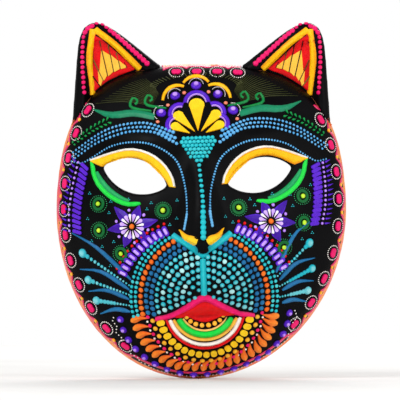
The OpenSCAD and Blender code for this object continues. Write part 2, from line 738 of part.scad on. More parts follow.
nose_rows = [[56.3, 8], [53.8, 9], [51.3, 8], [48.8, 7], [46.3, 6], [43.8, 5], [41.3, 2]];
nose_pitch = 2.75;
module nose_cluster() color(TURQUOISE)
    for (row = nose_rows) for (i = [0:row[1] - 1])
        bead([(i - (row[1] - 1) / 2) * nose_pitch, row[0]], 1.24);
module nose_line() color(TURQUOISE) graded(along([[0, 38], [1.4, 14], [1, -10.5]], 15), 1.3, 1.72);
module nostril_petals() color(YELLOW)
    for (side = SIDES)
        stroke(on_side(side, [[14.5, -4.5], [10.5, -10.3], [3.8, -13.8]]), comma(6.6), 9, FACE, 1);
fork = [0, -22];
lip_top = [0, -50.5];
arm = [19.5, -8.2];
by_fork = [5, -18.7];
arm_widths = [[0, 4.6], [0.4, 4.6], [0.5, 4], [0.6, 4.6], [1, 4.6]];
module muzzle_line() color(TURQUOISE) {
    stroke([fork - [0, 2.6], lip_top + [0, 1.6]], even(4), 8, FACE, 0.9);
    stroke(concat(on_side(LEFT, [arm, by_fork]), [fork], [by_fork, arm]), arm_widths, 25, FACE, 1.3);
}

// ---- Cheeks ----

rosettes = [[68.3, 14.7], [25.2, 8.7], [68.5, -3], [54.3, -19]];
rosette_inner = 2.7;
rosette_outer = 4.6;
module rosette_rings() color(GREEN)
    for (side = SIDES) for (c = on_side(side, rosettes)) {
        translate(place(c, FACE, -sink)) aim(normal(c))
            rotate_extrude($fn = detail)
                translate([rosette_inner, 0]) square([rosette_outer - rosette_inner, sink + 0.35]);
        beads([for (k = [0:23]) c + polar(5.5, 15 * k)], 0.34);
    }
module rosette_cores() color(LIME)
    for (side = SIDES) beads(on_side(side, rosettes), 1.6, FACE, bead_rise, 0.4);

flower = [46.4, -1.2];
star_angles = [130, 68, 12, -44, -113, 186];
star_widths = [[0, 6.2], [0.3, 6.8], [0.65, 4], [1, 0.4]];
star_reach = [17.6, 14.8, 17.8, 13.8, 15, 16.6];
module star_petals() color(VIOLET)
    for (side = SIDES) for (i = [0:5])
        let (c = on_side(side, [flower])[0], d = polar(1, side < 0 ? star_angles[i] : 180 - star_angles[i]))
            stroke([c + 6 * d, c + star_reach[i] * d], star_widths, 6, FACE, 0.45);
module flower_petals()
    for (side = SIDES) for (k = [0:15])
        let (c = on_side(side, [flower])[0], d = polar(1, 22.5 * k + 8))
            color(k % 2 == 0 ? CREAM : LILAC)
                petal(c + 2.8 * d, c + 8.3 * d, k % 2 == 0 ? 1.6 : 2.3, FACE, 0.8);
module flower_hearts() color(ORANGE) for (side = SIDES) beads(on_side(side, [flower]), 1.7);
module flower_beads() color(LILAC)
    for (side = SIDES) for (a = star_angles)
        bead(on_side(side, [flower])[0] + polar(11, (side < 0 ? a : 180 - a) + 30), 1.1);

dot_trios = [
    [74, 22], [61.5, 8.5], [60, 16], [76, 5], [59, -11], [62, -27], [46, -24], [67, -14], [39, -19],
    [33, 14], [21, -1], [29, -10], [16, 3], [15.5, 15], [48, 17], [36, 10], [74, -10]
];
module cheek_dots() color(AQUA)
    for (side = SIDES) for (c = on_side(side, dot_trios))
        beads([for (k = [0:2]) c + polar(0.75, 90 + 120 * k)], 0.38);

feather_count = 14;
// The two sides' feathers were laid by eye, the left ones steeper than the right
spines = [[[80.7, 43], [85.5, 25], [88, 10], [88.3, -2.6]], [[82.5, 36.5], [83.6, 22], [83, 8], [80.5, -4]]];
slants = [[36, 10], [20, 0]];
function spine(side) = along(on_side(side, spines[side == LEFT ? 0 : 1]), feather_count);
function slant(side, i) =
    let (s = slants[side == LEFT ? 0 : 1]) s[0] + (s[1] - s[0]) * i / (feather_count - 1);
module feather_beads() color(LILAC) for (side = SIDES) beads(spine(side), 1.05, FACE, 0.8);
module feathers() color(VIOLET)
    for (side = SIDES) for (i = [0:feather_count - 1])
        let (p = spine(side)[i], a = slant(side, i), d = [side * cos(a), sin(a)]) {
            dash(p - 8.8 * d, p - 1.3 * d, 2.2);
            petal(p + 6.4 * d, p + 1.3 * d, 1);
        }

// ---- Muzzle ----

// Rows of beads run in rings round the top of the lip, from the muzzle line down to the lip
function ring_start(r) =
    let (drop = fork.y - lip_top.y, way = unit(arm - fork), b = drop * way.y)
    r < drop + 2 ? asin(min(0.95, 3.4 / r)) :
        let (t = -b + sqrt(b * b - drop * drop + r * r)) atan2(t * way.x, drop + t * way.y) + 200 / r;
function ring_end(r) = r < 36 ? 110 - 130 / r : 103;
function muzzle_ring(side, r, from, to, n) =
    on_side(side, [for (k = [0:n - 1]) lip_top + polar(r, 90 - from - (to - from) * k / (n - 1))]);
function ring_count(r, pitch) = floor(r * (ring_end(r) - ring_start(r)) * PI / 180 / pitch) + 1;

module muzzle_ring_beads(r, size, pitch)
    for (side = SIDES) beads(muzzle_ring(side, r, ring_start(r), ring_end(r), ring_count(r, pitch)), size);

turquoise_rings = [
    [31.8, 1.5], [27.7, 1.68], [23.3, 1.72], [18.9, 1.7], [14.6, 1.65], [10.3, 1.55], [6.2, 1.4]
];
module muzzle_turquoise_beads() color(TURQUOISE)
    for (ring = turquoise_rings) muzzle_ring_beads(ring[0], ring[1], 3.7);
module muzzle_blue_beads() color(BLUE) for (r = [38.9, 35.3]) muzzle_ring_beads(r, 1.7, 3.7);
module muzzle_orange_beads() color(ORANGE) muzzle_ring_beads(42.6, 1.8, 4);
module muzzle_edge_beads() color(AQUA)
    for (side = SIDES) for (r = [46, 49])
        beads(muzzle_ring(side, r, 28, 103, 20), 1.25);

dashes = 11;
function dash_place(k) = let (t = k / (dashes - 1)) lip_top + polar(48.5 + 5.5 * t, 62 - 43 * t);
module muzzle_dashes() color(VIOLET)
    for (side = SIDES) for (k = [0:dashes - 1])
        let (p = dash_place(k), d = unit(p - lip_top))
            dash(on_side(side, [p - 0.8 * d])[0], on_side(side, [p + 6.2 * d])[0], 3.1);
module muzzle_red_dots() color(RED)
    for (side = SIDES)
        let (places = [for (k = [0:dashes - 1]) dash_place(k)])
            beads(on_side(side, [for (p = places) p + turn(unit(p - lip_top), 12) * 7.6]), 1.05);

// Whiskers on the left and on the right, from the outer end to the muzzle
whiskers = [
    [
        [[87, -4], [69.5, -15.5], [48.4, -36.9]],
        [[82.5, -28.6], [67.6, -31.1], [49.8, -43.5]],
        [[77.4, -43.6], [64.4, -43.5], [50.1, -50]],
        [[70, -59], [60, -56.3], [49.9, -58.3]]
    ],
    [
        [[72.6, -2.6], [61.3, -11.8], [48.6, -35.6]],
        [[75, -27], [62, -30.3], [50.8, -40.8]],
        [[73.6, -42.3], [62.8, -42.5], [52.4, -47.7]],
        [[68.6, -56.2], [59.7, -54.4], [52, -56.2]]
    ]
];
module whisker_strokes() color(BLUE)
    for (side = SIDES) for (w = whiskers[side == LEFT ? 0 : 1])
        stroke(on_side(side, w), [[0, 0.5], [0.45, 2.7], [0.8, 3], [1, 1.2]], 9);
// Rows of beads between the whiskers: two ends, how many, and the first one's radius
whisker_rows = [
    [
        [[80.4, -17.9], [49.9, -40.4], 15, 2.9],
        [[77.3, -36], [50.2, -46.8], 13, 2.6],
        [[72.4, -50], [50.4, -54], 11, 2.6]
    ],
    [
        [[71.8, -16.8], [49.6, -38], 13, 2.9],
        [[73, -34], [50.8, -45], 12, 2.6],
        [[69.7, -48.7], [50.6, -52.2], 10, 2.5]
    ]
];
module whisker_beads() color(AQUA)
    for (side = SIDES) for (w = whisker_rows[side == LEFT ? 0 : 1]) for (i = [0:w[2] - 1])
        let (t = i / (w[2] - 1))
            bead(on_side(side, [w[0] + (w[1] - w[0]) * pow(t, 0.85)])[0], i == 0 ? w[3] : 1.4 - 0.75 * t);

// ---- Mouth and chin ----

lip_corner = [33, -63.8];
lip_widths = [[0, 3], [0.5, 4.8], [1, 3]];
lip_half = [[0, -50.9], [12, -57.2], [22, -61.8], lip_corner];
module lip_line() color(MAGENTA)
    stroke(concat(on_side(LEFT, [for (i = [3:-1:1]) lip_half[i]]), lip_half), lip_widths, 25, FACE, 1.4);
fill_high = [[-20, -61.6], [-10, -57.6], [0, -52.8], [10, -57.6], [20, -61.6]];
fill_low = [[-19, -62.8], [-11, -63], [-6, -65.4], [0, -66.8], [6, -65.4], [11, -63], [19, -62.8]];
module mouth_fill() color(RED) ribbon(along(fill_high, 17), along(fill_low, 17), FACE, 1, 5);

chin = [0, -58.6];
// Rows round the chin lie on ovals, flatter below
function chin_oval(rx, rz, from, n) = [
    for (k = [0:n - 1])
        let (a = 180 + from + (180 - 2 * from) * k / (n - 1)) chin + [rx * cos(a), rz * sin(a)]
];
// Bands round the mouth: the inner ones are flatter
module chin_arc(rx, rz, w, from, n, rise) stroke(chin_oval(rx, rz, from, 13), even(w), n, FACE, rise);
module mouth_beads() color(GOLD)
    beads(chin_oval(13.2, 10.6, 23, 8), 1.6);
module chin_green_arc() color(BRIGHT_GREEN) chin_arc(18.6, 17, 4.1, 20, 24, 1.4);
module chin_arcs() {
    color(YELLOW) chin_arc(15.7, 14.1, 1.1, 22, 22, 1);
    color(GOLD) chin_arc(21.8, 20.4, 2, 17, 24, 1);
    color(CREAM) chin_arc(24.3, 23.6, 2.2, 15, 24, 1);
    color(RED) chin_arc(26.6, 26.1, 1.6, 13, 24, 0.8);
}

// Rows near the edge are kept inside the outline
function kept(points, s_max) = [
    for (p = points) let (q = plan_of(p, FACE), s = head_s(q.x, q.y), mid = [0, widest_z])
        s > s_max ? upright(mid + (q - mid) * s_max / s) : p
];
// Petals, gold beads and magenta beads lie in turn, each row half a step on from the one inside it
petal_count = 17;
petal_from = 15;
row_step = (180 - 2 * petal_from) / (petal_count - 1);
module chin_petals() color(YELLOW) {
    inner = chin_oval(27.9, 27.8, petal_from, petal_count);
    outer = chin_oval(33.5, 32.8, petal_from, petal_count);
    for (i = [0:petal_count - 1]) dash(inner[i], outer[i], 4.1);
}
module chin_gold_beads() color(GOLD)
    beads(chin_oval(35.6, 34.6, petal_from - row_step / 2, petal_count + 1), 1.65);
module chin_magenta_beads() {
    color(MAGENTA) beads(chin_oval(38.4, 37.1, petal_from - row_step, petal_count + 2), 1.3);
    color(CREAM) beads(chin_oval(39.3, 37.8, petal_from - row_step / 2, petal_count + 1), 0.8);
}
// Commas whose thick ends lie on an oval. Below the mouth their tails lean to one side.
drop_count = 24;
drop_from = 8;
drop_lean = 34;
drop_long = 11.5;
drop_short = 8.5;
module teardrops() color(ORANGE) {
    ends = kept(chin_oval(50, 44, drop_from, drop_count), 0.955);
    for (i = [0:drop_count - 1])
        let (
            t = i / (drop_count - 1),
            low = pow(sin(180 * t), 0.7),
            inwards = drop_from + (180 - 2 * drop_from) * t,
            way = polar(drop_long + (drop_short - drop_long) * low, inwards - drop_lean * low),
            bulge = 0.1 * [-way.y, way.x]
        )
        stroke([ends[i] + way, ends[i] + way / 2 + bulge, ends[i]], comma(4.6), 7, FACE, 0.8);
}
violet_ring = kept(chin_oval(57, 44.5, 6, 19), 0.978);
module violet_chin_beads() color(VIOLET) beads(violet_ring, 2.5);
module lilac_cores() color(LILAC) {
    beads(violet_ring, 1.2, FACE, bead_rise, 1.3);
    beads(crown_beads, 1.7, FACE, bead_rise, 1.8);
    for (side = SIDES) for (k = [0:dashes - 1])
        let (p = dash_place(k), d = unit(p - lip_top))
            dash(on_side(side, [p + 0.3 * d])[0], on_side(side, [p + 4.6 * d])[0],
                1.7, FACE, 0.3, stroke_rise);
}
wave_count = 72;
module chin_dotted_line() color(CREAM)
    beads(kept([for (k = [0:wave_count - 1])
        let (a = 184 + 172 * k / (wave_count - 1), wave = 0.9 * sin(18 * 360 * k / wave_count))
            chin + [(61.5 + wave) * cos(a), (48 + 0.4 * wave) * sin(a)]], 0.99), 0.5);

face_shell();
ear(LEFT);  // ear_left
ear(RIGHT);  // ear_right
rim_band();
rim_crest_beads();
medallion_hearts();
medallion_rings();
ear_beads();
ear_bands();
ear_fields();
ear_rays();
palmette_petals();
palmette_scallops();
scallop_lines();
palmette_beads();
palmette_arcs();
coral_beads();
brow_leaves();
brow_curls();
lashes();
sprigs();
brow_beads(LEFT);  // brow_beads_left
brow_beads(RIGHT);  // brow_beads_right
eye_outline_beads();
upper_lids();
lid_edges();
lower_lids();
nose_cluster();
nose_line();
nostril_petals();
muzzle_line();
rosette_rings();
rosette_cores();
star_petals();
flower_petals();
flower_hearts();
flower_beads();
cheek_dots();
feathers();
feather_beads();
muzzle_dashes();
muzzle_red_dots();
muzzle_edge_beads();
muzzle_orange_beads();
muzzle_blue_beads();
muzzle_turquoise_beads();
whisker_strokes();
whisker_beads();
lip_line();
mouth_fill();
mouth_beads();
chin_green_arc();
chin_arcs();
chin_petals();
chin_gold_beads();
chin_magenta_beads();
teardrops();
violet_chin_beads();
lilac_cores();
chin_dotted_line();
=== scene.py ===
"""Looks of the painted cat mask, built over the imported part. Metres; the face looks along -Y and +Z is up."""

import math

import bpy
import numpy as np
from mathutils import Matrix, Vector
from mathutils.bvhtree import BVHTree


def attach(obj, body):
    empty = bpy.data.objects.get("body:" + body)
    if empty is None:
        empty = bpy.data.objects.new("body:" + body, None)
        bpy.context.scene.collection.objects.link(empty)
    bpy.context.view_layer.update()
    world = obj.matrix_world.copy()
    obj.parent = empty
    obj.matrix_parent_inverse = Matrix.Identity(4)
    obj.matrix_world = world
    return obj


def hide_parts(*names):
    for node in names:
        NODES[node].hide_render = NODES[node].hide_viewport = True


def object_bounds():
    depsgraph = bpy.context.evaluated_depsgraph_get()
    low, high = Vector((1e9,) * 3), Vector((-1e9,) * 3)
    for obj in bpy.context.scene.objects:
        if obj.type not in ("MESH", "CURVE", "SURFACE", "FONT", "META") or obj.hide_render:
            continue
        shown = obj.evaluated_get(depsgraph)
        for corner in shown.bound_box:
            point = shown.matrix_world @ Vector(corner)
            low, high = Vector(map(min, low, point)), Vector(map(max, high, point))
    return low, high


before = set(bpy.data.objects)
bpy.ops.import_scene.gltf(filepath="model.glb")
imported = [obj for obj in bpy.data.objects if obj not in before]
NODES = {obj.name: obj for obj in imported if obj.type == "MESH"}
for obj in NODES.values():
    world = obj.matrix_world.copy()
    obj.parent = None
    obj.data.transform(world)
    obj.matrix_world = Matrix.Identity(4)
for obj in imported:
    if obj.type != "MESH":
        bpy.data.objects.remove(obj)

CAD_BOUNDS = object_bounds()
LOW, HIGH = (np.array(corner) for corner in CAD_BOUNDS)
MM = 0.001
rng = np.random.default_rng(879)

# Points nearer to each other than this are one point
WELD = 0.002 * MM

# ---- Sizes of the clay ----

# For each clay piece, the size of its squares and its rounds of smoothing
HEAD = "face_shell"
CLAY = {HEAD: (1.3 * MM, 22), "ear_left": (1.0 * MM, 10), "ear_right": (1.0 * MM, 10)}
# Where smoothing leaves the clay alone: how far each stretch reaches, and how firmly it is held
RIM_REACH = 2.5 * MM
HOLE_REACH = 1.3 * MM
HOLE_HOLD = 0.8
JOINT_REACH = 2.2 * MM
JOINT_HOLD = 0.95
# The ears' feet within this reach of the head go so far down into it
FOOT_REACH = 0.7 * MM
FOOT_SINK = 0.9 * MM
# A point is inside the shell if clay lies in front of a spot this far off the surface
INSIDE_STEP = 2.5 * MM

# ---- Sizes of the paint ----

# A drop's height as a share of its radius, its spokes and rings, and how far its skirt is sunk
DROP_RISE = 0.55
DROP_SPOKES = 20
DROP_RINGS = 5
KEYED = 0.3 * MM
# A shape is a drop if its cap is this near to a ball of no more than this radius
BALL_MISS = 0.012 * MM
BALL_LIMIT = 8 * MM
CAP_START = 0.03 * MM
CAP_POINTS = 12
# A drop that sits this much higher than the clay lies on other paint
LIFTED = 0.12 * MM
# A drop's radius against the way to the next one, and the least share of its radius that it keeps
CROWDING = 0.42
LEAST_SHARE = 0.8
# How far strokes are raised off the clay, and how far paint that lies on other paint is raised
RAISED = 0.22 * MM
OVER_PAINT = 0.5 * MM
DROP_OVER_PAINT = 0.35 * MM
ON_TOP = ("lid_edges", "lilac_cores", "scallop_lines", "flower_hearts", "ear_rays", "feather_beads",
          "rosette_cores")
# Copies of a stroke, laid one below the other, give it steep sides; then come rounds of smoothing
LAYER = 0.15 * MM
LAYERS = 5
PASSES = 4
# A stroke is widened by so many times what its squares are larger than the thinnest
THIN = 0.13 * MM
WIDENING = 1.7
# The rim's magenta edge, found in so many slots round the rim's middle
SLOTS = 240
EDGE_WIDTH = 4.4 * MM
RIM_MIDDLE = 9.5 * MM


# ---- Meshes and their parts ----

def arrays(obj):
    """A mesh's points and its triangles."""
    mesh = obj.data
    mesh.calc_loop_triangles()
    points = np.empty(len(mesh.vertices) * 3)
    mesh.vertices.foreach_get("co", points)
    faces = np.empty(len(mesh.loop_triangles) * 3, int)
    mesh.loop_triangles.foreach_get("vertices", faces)
    return points.reshape(-1, 3), faces.reshape(-1, 3)


def welded(obj):
    """The same, with points that lie together made one."""
    points, faces = arrays(obj)
    keys = np.round(points / WELD).astype(np.int64)
    _, first, back = np.unique(keys, axis=0, return_index=True, return_inverse=True)
    faces = back.reshape(-1)[faces]
    kept = (faces[:, 0] != faces[:, 1]) & (faces[:, 1] != faces[:, 2]) & (faces[:, 2] != faces[:, 0])
    return points[first], faces[kept]


def joined(pieces):
    """The points and faces of several pieces as one."""
    points = [piece_points for piece_points, _ in pieces]
    starts = np.cumsum([0] + [len(p) for p in points])
    faces = [piece_faces + start for (_, piece_faces), start in zip(pieces, starts)]
    return np.vstack(points), np.vstack(faces)


def island_labels(count, edges):
    """A number for each point, the same for all points that edges join."""
    label = np.arange(count)
    while True:
        least = np.minimum(label[edges[:, 0]], label[edges[:, 1]])
        new = label.copy()
        np.minimum.at(new, edges[:, 0], least)
        np.minimum.at(new, edges[:, 1], least)
        new = new[new]
        if (new == label).all():
            return np.unique(label, return_inverse=True)[1].reshape(-1)
        label = new


def members_of(labels):
    """For each piece, the numbers of its points."""
    order = np.argsort(labels, kind="stable")
    starts = np.searchsorted(labels[order], np.arange(1, labels.max() + 1))
    return np.split(order, starts)


def edges_of(faces):
    """The edges of all faces."""
    sides = faces.shape[1]
    return np.vstack([faces[:, [k, (k + 1) % sides]] for k in range(sides)])


def as_list(rows):
    return rows.tolist() if isinstance(rows, np.ndarray) else rows


def new_object(name, points, faces):
    mesh = bpy.data.meshes.new(name)
    mesh.from_pydata(as_list(points), [], as_list(faces))
    mesh.update()
    obj = bpy.data.objects.new(name, mesh)
    bpy.context.scene.collection.objects.link(obj)
    return obj


def give(obj, name, values):
    """Stores one number a point, for the material to read."""
    attribute = obj.data.attributes.new(name, "FLOAT", "POINT")
    attribute.data.foreach_set("value", np.asarray(values, np.float32))


def finish_piece(obj, name):
    """Smooth shading, and the CAD node that the piece stands for."""
    for polygon in obj.data.polygons:
        polygon.use_smooth = True
    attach(obj, "root")
    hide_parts(name)


def remeshed(name, points, faces, size):
    """The shape built again from even squares of the given size."""
    obj = new_object(name, points, faces)
    modifier = obj.modifiers.new("even", "REMESH")
    modifier.mode = "VOXEL"
    modifier.voxel_size = size
    modifier.adaptivity = 0
    baked = obj.evaluated_get(bpy.context.evaluated_depsgraph_get())
    mesh = bpy.data.meshes.new_from_object(baked)
    bpy.data.objects.remove(obj)
    out = np.empty(len(mesh.vertices) * 3)
    mesh.vertices.foreach_get("co", out)
    squares = np.empty(len(mesh.loops), int)
    mesh.loops.foreach_get("vertex_index", squares)
    bpy.data.meshes.remove(mesh)
    return out.reshape(-1, 3), squares.reshape(-1, 4)


def relaxed(points, squares, passes, held=None, inflate=0.0):
    """Points drawn towards the middle of their neighbours. Inflate gives back the volume that this loses."""
    edges = edges_of(squares)
    count = np.bincount(edges.reshape(-1), minlength=len(points))
    move = np.ones((len(points), 1)) if held is None else (1 - held)[:, None]
    shares = (0.5, -0.5 * inflate) if inflate else (0.5,)
    for share in shares * passes:
        total = np.zeros_like(points)
        np.add.at(total, edges[:, 0], points[edges[:, 1]])
        np.add.at(total, edges[:, 1], points[edges[:, 0]])
        points = points + share * move * (total / count[:, None] - points)
    return points


def across_faces(points, faces):
    """A vector square to each face, as long as the face is large."""
    start = points[faces[:, 0]]
    return np.cross(points[faces[:, 1]] - start, points[faces[:, 2]] - start)


def face_normals(points, faces):
    across = across_faces(points, faces)
    return across / np.maximum(np.linalg.norm(across, axis=1), 1e-15)[:, None]


def point_normals(points, faces):
    normals = np.zeros_like(points)
    across = across_faces(points, faces)
    for k in range(faces.shape[1]):
        np.add.at(normals, faces[:, k], across)
    return normals / np.maximum(np.linalg.norm(normals, axis=1), 1e-12)[:, None]


def tree_of(points, faces):
    return BVHTree.FromPolygons(points.tolist(), faces.tolist())


def near(points, tree, reach):
    """1 where a point is within reach of the tree's faces, or else 0."""
    return np.array([float(tree.find_nearest(p, reach)[0] is not None) for p in points])


# ---- The clay ----

class Ground:
    """The clay as built and as smoothed, for laying paint on it."""

    def __init__(self, names):
        self.built = tree_of(*joined([welded(NODES[name]) for name in names]))
        self.pieces = []

    def add(self, points, squares):
        """Takes in one smoothed piece."""
        self.pieces.append((points, squares))

    def close(self):
        """Joins the smoothed pieces, when all are in."""
        self.points, self.faces = joined(self.pieces)
        self.normals = point_normals(self.points, self.faces)
        self.smooth = tree_of(self.points, self.faces)

    def under(self, point):
        """The nearest spot on the smoothed clay, and the way up from it."""
        spot, _, face, _ = self.smooth.find_nearest(point)
        corners = self.faces[face]
        away = np.linalg.norm(self.points[corners] - np.array(spot), axis=1)
        weight = 1 / np.maximum(away, 1e-6)
        normal = (self.normals[corners] * weight[:, None]).sum(0)
        return np.array(spot), normal / np.linalg.norm(normal)

    def height(self, point):
        """How high a point is over the clay as built."""
        spot, normal, _, _ = self.built.find_nearest(point)
        return (Vector(point) - spot).dot(normal)

    def seat(self, points):
        """The same points at the same height over the smoothed clay, and those heights."""
        out = np.empty_like(points)
        heights = np.array([self.height(point) for point in points])
        for i, point in enumerate(points):
            spot, up = self.under(point)
            out[i] = spot + heights[i] * up
        return out, heights


ground = Ground(CLAY)


def hole_walls(points, faces):
    """The faces round the eye holes, which run straight back and lie well in front of the rim."""
    normals = face_normals(points, faces)
    middles = points[faces].mean(1)
    return faces[(np.abs(normals[:, 1]) < 0.02) & (middles[:, 1] < -20 * MM)]


def inside_shell(points, normals):
    """1 on the hollow side, where clay lies straight in front of the point, or else 0."""
    forwards = Vector((0, -1, 0))
    starts = points + normals * INSIDE_STEP
    return np.array([float(ground.built.ray_cast(Vector(p), forwards)[0] is not None) for p in starts])


def clay(name, size, passes):
    """A clay piece with its facets worn away, but with its rim, eye holes and joints where they were."""
    built, faces = welded(NODES[name])
    joints = [tree_of(*welded(NODES[other])) for other in CLAY if other != name]
    points, squares = remeshed(name + "_clay", built, faces, size)
    held = 1 - np.clip(-points[:, 1] / RIM_REACH, 0, 1)
    if name == HEAD:
        walls = tree_of(built, hole_walls(built, faces))
        held = np.maximum(held, HOLE_HOLD * near(points, walls, HOLE_REACH))
    for joint in joints:
        held = np.maximum(held, JOINT_HOLD * near(points, joint, JOINT_REACH))
    points = relaxed(points, squares, passes, held=held)
    normals = point_normals(points, squares)
    if name != HEAD:
        # The ear's foot goes a little into the head, so that no gap shows
        foot = near(points, joints[0], FOOT_REACH)[:, None]
        points = points - foot * np.array([0.0, 0.0, FOOT_SINK])
    points = np.clip(points, LOW, HIGH)
    obj = new_object(name + "_clay", points, squares)
    give(obj, "inner", inside_shell(points, normals) if name == HEAD else np.zeros(len(points)))
    ground.add(points, squares)
    finish_piece(obj, name)
    return obj


# ---- Materials ----

def srgb(r, g, b):
    def linear(c):
        c = c / 255
        return c / 12.92 if c <= 0.04045 else ((c + 0.055) / 1.055) ** 2.4
    return (linear(r), linear(g), linear(b), 1)


class Shader:
    """Short ways to wire a material."""

    def __init__(self, name):
        self.material = bpy.data.materials.new(name)
        self.material.use_nodes = True
        self.tree = self.material.node_tree
        self.base = self.tree.nodes["Principled BSDF"]

    def node(self, kind, **values):
        node = self.tree.nodes.new(kind)
        for key, value in values.items():
            setattr(node, key, value)
        return node

    def join(self, source, target):
        self.tree.links.new(source, target)

    def number(self, name):
        """A number that the mesh holds for each point."""
        return self.node("ShaderNodeAttribute", attribute_name=name).outputs["Fac"]

    def noise(self, scale, detail=3, stretch=(1, 1, 1)):
        mapping = self.node("ShaderNodeMapping")
        mapping.inputs["Scale"].default_value = stretch
        self.join(self.node("ShaderNodeTexCoord").outputs["Object"], mapping.inputs["Vector"])
        noise = self.node("ShaderNodeTexNoise")
        noise.inputs["Scale"].default_value = scale
        noise.inputs["Detail"].default_value = detail
        self.join(mapping.outputs["Vector"], noise.inputs["Vector"])
        return noise.outputs["Fac"]

    def span(self, value, a, b, c=0.0, d=1.0):
        """Value between a and b, turned evenly into c to d."""
        node = self.node("ShaderNodeMapRange", clamp=True)
        for socket, number in zip(("From Min", "From Max", "To Min", "To Max"), (a, b, c, d)):
            node.inputs[socket].default_value = number
        self.join(value, node.inputs["Value"])
        return node.outputs["Result"]

    def mix(self, factor, a, b):
        """Colour a turning into colour b as the factor goes from 0 to 1."""
        node = self.node("ShaderNodeMix", data_type="RGBA")
        self.join(factor, node.inputs[0])
        for socket, value in ((6, a), (7, b)):
            if isinstance(value, tuple):
                node.inputs[socket].default_value = value
            else:
                self.join(value, node.inputs[socket])
        return node.outputs[2]

    def sheen(self, roughness, coat, grain, height):
        """Varnish: uneven gloss over a fine brushed grain."""
        uneven = self.span(self.noise(90, 2), 0.3, 0.7, roughness - 0.06, roughness + 0.06)
        self.join(uneven, self.base.inputs["Roughness"])
        self.base.inputs["Coat Weight"].default_value = coat
        self.base.inputs["Coat Roughness"].default_value = 0.22
        bump = self.node("ShaderNodeBump")
        bump.inputs["Strength"].default_value = 0.35
        bump.inputs["Distance"].default_value = height
        self.join(self.noise(grain, 3), bump.inputs["Height"])
        self.join(bump.outputs["Normal"], self.base.inputs["Normal"])


def clay_material(name):
    """Black paint outside, and bare fired clay with darker patches inside."""
    s = Shader(name)
    black = s.mix(s.span(s.noise(45, 4), 0.3, 0.75), srgb(2, 2, 3), srgb(8, 8, 10))
    fired = s.mix(s.span(s.noise(60, 5), 0.3, 0.7), srgb(158, 88, 58), srgb(190, 118, 82))
    patched = s.mix(s.span(s.noise(18, 2), 0.45, 0.7), fired, srgb(120, 62, 42))
    s.join(s.mix(s.span(s.number("inner"), 0.35, 0.6), black, patched), s.base.inputs["Base Color"])
    s.sheen(0.42, 0.0, 500, 0.08 * MM)
    s.base.inputs["Specular IOR Level"].default_value = 0.06
    return s.material


def painted(s, palette):
    """Body colour, edge colour where the paint thins out, and crown colour where it piles up; the crown is
    partly paler paint laid on top and partly a painted highlight on each drop's top and each stroke's thick
    end.
    """
    body, edge, crown_and_highlight = palette
    colour = s.mix(s.span(s.number("core"), 0.0, 0.4), edge, body)
    # Painted highlight, partly paler paint laid on top: the crown colour on the highest part of each drop and
    # stroke
    colour = s.mix(s.span(s.number("core"), 0.6, 1.0, 0.0, 0.35), colour, crown_and_highlight)
    # Painted highlight, partly paler paint: the crown colour towards each stroke's thick end
    return s.mix(s.span(s.number("along"), 0.35, 1.0, 0.0, 0.6), colour, crown_and_highlight)


# Here and there a bead of these is far paler than the others
FLECKED = ("muzzle_turquoise_beads", "muzzle_edge_beads")


def paint_material(name, palettes):
    """Paint, one colour for each kind of piece, with brush streaks and small changes between pieces."""
    s = Shader(name)
    colour = painted(s, palettes[0])
    crown_and_highlight = palettes[0][2]
    for k, palette in enumerate(palettes[1:]):
        colour = s.mix(s.span(s.number("kind"), k + 0.4, k + 0.6), colour, painted(s, palette))
    colour = s.mix(s.span(s.number("tint"), 0.3, 0.85, 0.0, 0.2), colour, crown_and_highlight)
    if name in FLECKED:
        colour = s.mix(s.span(s.number("tint"), 0.8, 0.95, 0.0, 0.65), colour, crown_and_highlight)
    streak = s.span(s.noise(420, 3, (1, 1, 0.35)), 0.3, 0.7, 0.88, 1.06)
    shade = s.node("ShaderNodeVectorMath", operation="SCALE")
    s.join(colour, shade.inputs[0])
    s.join(streak, shade.inputs["Scale"])
    s.join(shade.outputs["Vector"], s.base.inputs["Base Color"])
    s.sheen(0.34, 0.0, 900, 0.05 * MM)
    s.base.inputs["Specular IOR Level"].default_value = 0.16
    return s.material


def rim_material(name):
    """Orange wash with yellow and red patches, and a magenta line along the front edge."""
    s = Shader(name)
    wash = s.mix(s.span(s.noise(170, 3), 0.42, 0.56), srgb(247, 98, 30), srgb(252, 150, 32))
    wash = s.mix(s.span(s.noise(26, 2), 0.5, 0.68), wash, srgb(240, 60, 60))
    wash = s.mix(s.span(s.number("front"), 0.42, 0.6), wash, srgb(226, 16, 96))
    s.join(wash, s.base.inputs["Base Color"])
    s.sheen(0.4, 0.05, 700, 0.08 * MM)
    return s.material


# ---- Drops of paint ----

def fit_ball(points):
    """The ball through the points: its middle, radius and largest miss."""
    middle = points.mean(0)
    local = (points - middle) / MM
    rows = np.column_stack([2 * local, np.ones(len(local))])
    squares = (local ** 2).sum(1)
    answer, _, _, _ = np.linalg.lstsq(rows, squares, rcond=None)
    radius = math.sqrt(max(answer[3] + (answer[:3] ** 2).sum(), 1e-9))
    miss = np.abs(np.linalg.norm(local - answer[:3], axis=1) - radius).max()
    return middle + answer[:3] * MM, radius * MM, miss * MM


def as_drop(points):
    """The spot, direction and radius of a drop of paint, or None for a stroke."""
    middle = points.mean(0)
    _, up = ground.under(middle)
    height = (points - middle) @ up
    cap = points[height > height.min() + CAP_START]
    if len(cap) < CAP_POINTS:
        return None
    centre, ball, miss = fit_ball(cap)
    if miss > BALL_MISS or ball > BALL_LIMIT:
        return None
    spot, up = ground.under(centre)
    radius = ball * 2 * DROP_RISE / (1 + DROP_RISE ** 2)
    lift = (centre - spot) @ up + ball - radius * DROP_RISE
    return spot + up * (lift if lift > LIFTED else 0), up, radius


